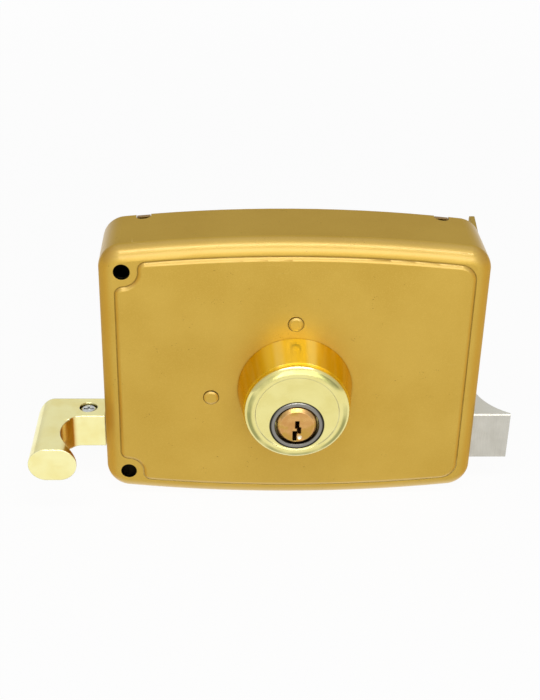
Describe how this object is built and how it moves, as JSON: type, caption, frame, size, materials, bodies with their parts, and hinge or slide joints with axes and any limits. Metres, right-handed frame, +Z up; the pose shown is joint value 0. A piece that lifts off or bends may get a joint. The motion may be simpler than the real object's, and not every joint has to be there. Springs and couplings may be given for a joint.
{
  "type": "rim box lock",
  "caption": "Pressed-case rim lock for the face of a door: sprung bevelled latch bolt, side pull handle on a slide bar, and a pin-tumbler cylinder whose cam draws the bolt back.",
  "frame": {"origin": "on the door face, behind the middle of the case", "axes": "+X from the pull handle towards the latch bolt, +Z up, +Y into the door; the key side faces -Y"},
  "size_m": [0.1561, 0.0537, 0.093],
  "materials": {
    "gold_paint": "satin gold paint over pressed steel",
    "collar_gold": "glossy gold lacquer over turned metal",
    "brass": "polished pale brass",
    "bronze": "turned bronze-coloured brass",
    "ring_steel": "bright steel",
    "spring_wire": "drawn spring wire",
    "bolt_metal": "nickel-plated cast metal, lightly ground",
    "zinc_sheet": "zinc-plated steel",
    "bar_steel": "plain drawn steel"
  },
  "bodies": {
    "lock_case": {"case_cover": "gold_paint", "back_plate": "zinc_sheet", "bracket_plate": "zinc_sheet", "panel_rivets": "gold_paint", "cylinder_collar": "collar_gold", "cylinder_housing": "brass", "cylinder_clip": "ring_steel", "face_ring": "ring_steel", "driver_pins": "brass", "pin_springs": "spring_wire", "chamber_cap": "brass", "bar_guide": "zinc_sheet", "bolt_guide": "zinc_sheet", "guide_rivets": "zinc_sheet", "latch_spring": "spring_wire"},
    "latch_train": {"latch_bolt": "bolt_metal", "slide_bar": "bar_steel", "bolt_pins": "bar_steel", "yoke_plate": "bar_steel", "yoke_pin": "bar_steel", "pull_handle": "brass", "handle_screw": "zinc_sheet"},
    "plug_train": {"cylinder_plug": "bronze", "key_pins": "brass", "tail_cam": "bar_steel", "cam_clip": "ring_steel"}
  },
  "joints": [
    {"name": "latch_slide", "type": "slide", "parent": "lock_case", "child": "latch_train", "axis": [-1, 0, 0], "range_m": [0, 0.01262], "stiffness_N_per_m": 1200, "springref_m": -0.004, "deforming": ["latch_spring"]},
    {"name": "plug_turn", "type": "hinge", "parent": "lock_case", "child": "plug_train", "pos_m": [0.0007, -0.02, -0.0084], "axis": [0, 1, 0], "range_deg": [0, 70]}
  ],
  "couplings": [
    {"joint": "plug_turn", "follows": "latch_slide", "rad_per_m": 96.824}
  ]
}
